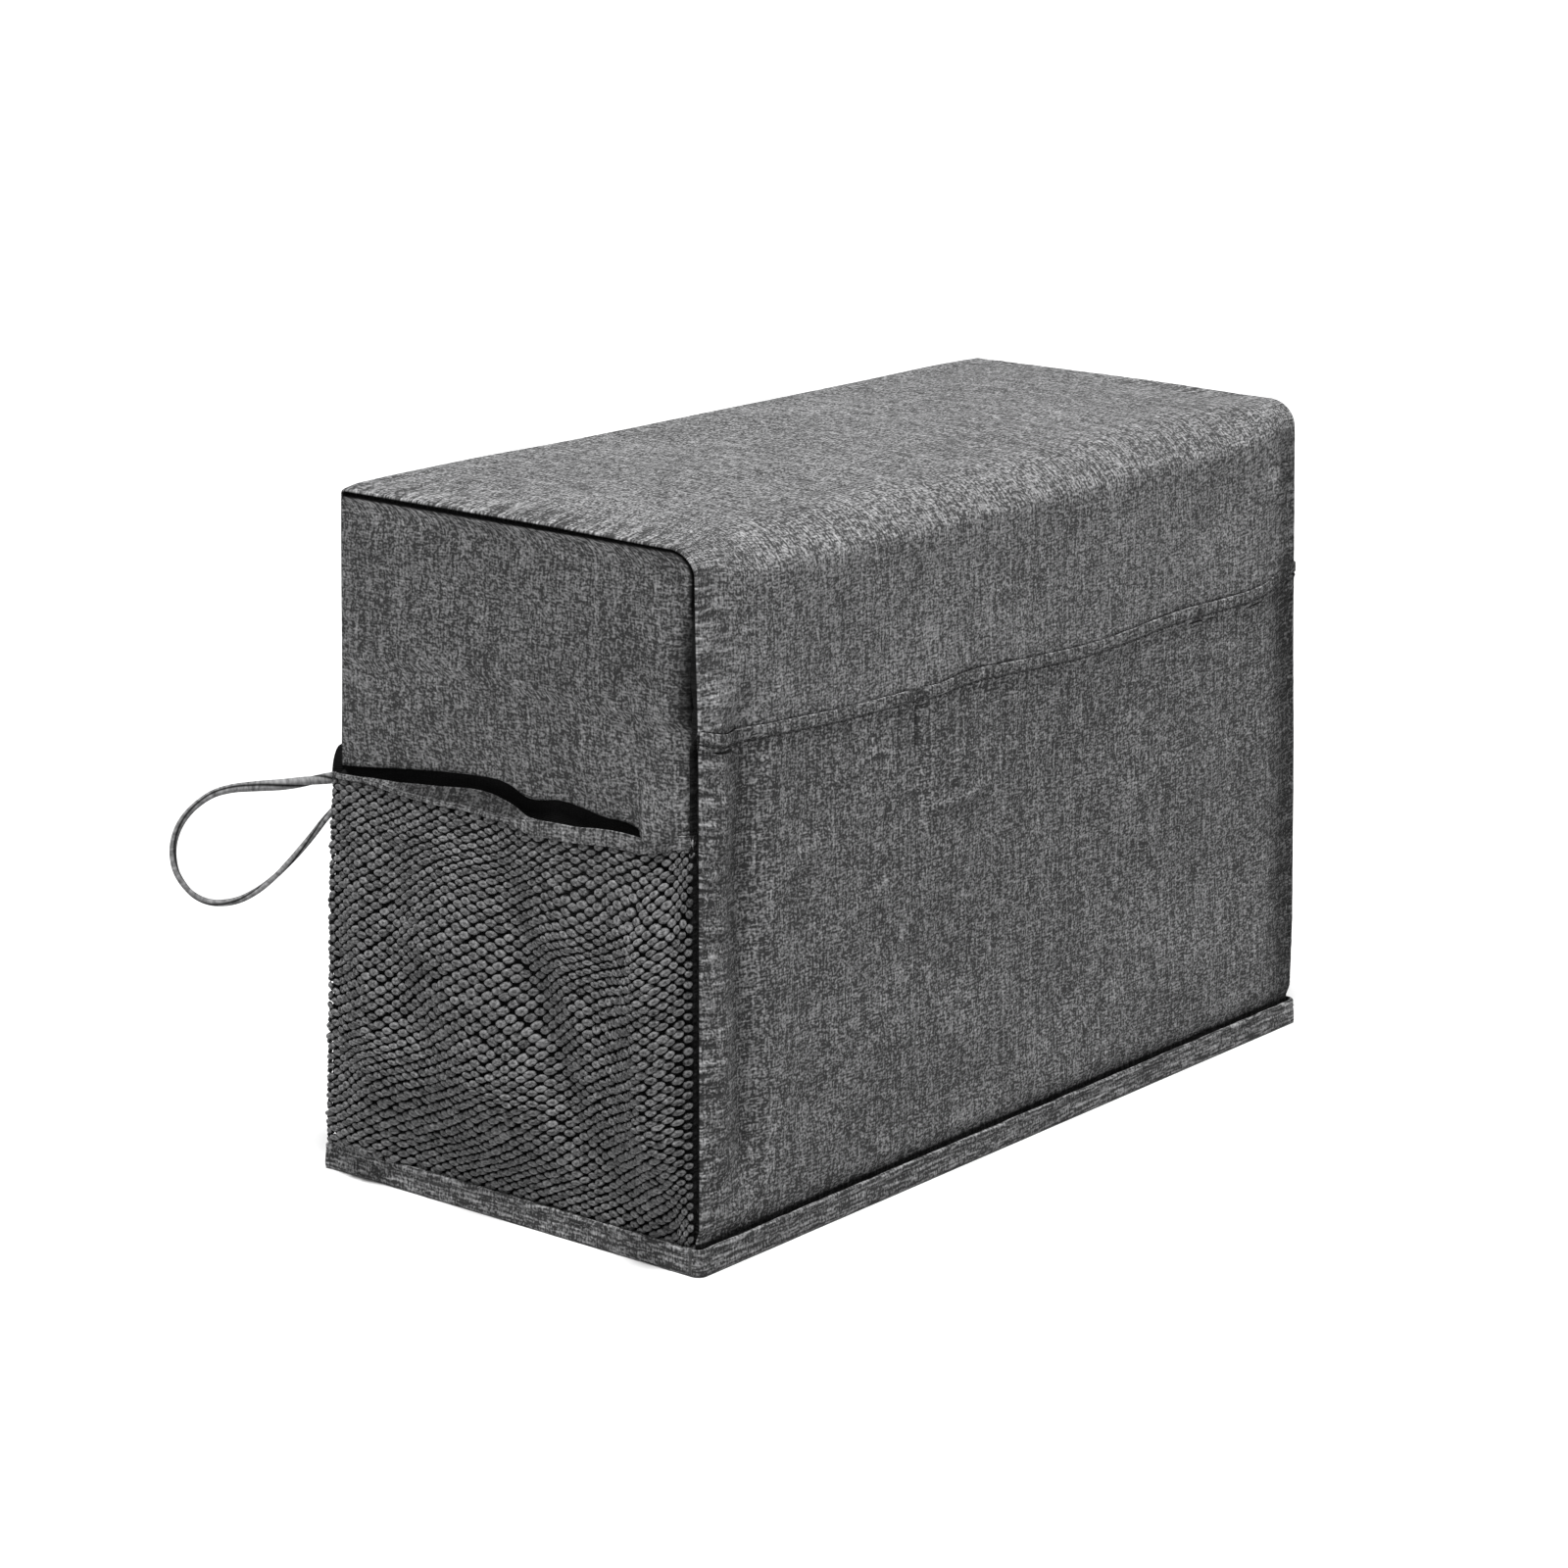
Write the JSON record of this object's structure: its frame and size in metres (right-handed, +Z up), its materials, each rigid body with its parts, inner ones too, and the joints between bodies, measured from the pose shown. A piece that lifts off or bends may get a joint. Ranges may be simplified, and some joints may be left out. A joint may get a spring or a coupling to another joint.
{
  "type": "sewing machine cover",
  "caption": "Hollow box-shaped cloth dust cover for a table-top sewing machine, with a front patch pocket, a net end pocket, a bound hem and a cord loop.",
  "frame": {"origin": "centre of the foot print of the cover without its loop, on the surface that the hem stands on", "axes": "+X along the length towards the plain end, -Y out of the front with the patch pocket, +Z up"},
  "size_m": [0.4804, 0.2625, 0.3],
  "materials": {
    "melange_cloth": "matt melange plain weave",
    "black_lining": "matt black cloth",
    "net": "knitted net",
    "binding": "matt melange binding",
    "cord": "soft braided cord"
  },
  "bodies": {
    "root": {"wrap": "melange_cloth", "end_left": "melange_cloth", "end_right": "melange_cloth", "front_pocket": "melange_cloth", "pocket_back": "black_lining", "net_pocket": "net", "pocket_rim": "binding", "mouth_tab": "black_lining", "hem_binding": "binding", "pull_loop": "cord"}
  },
  "joints": []
}
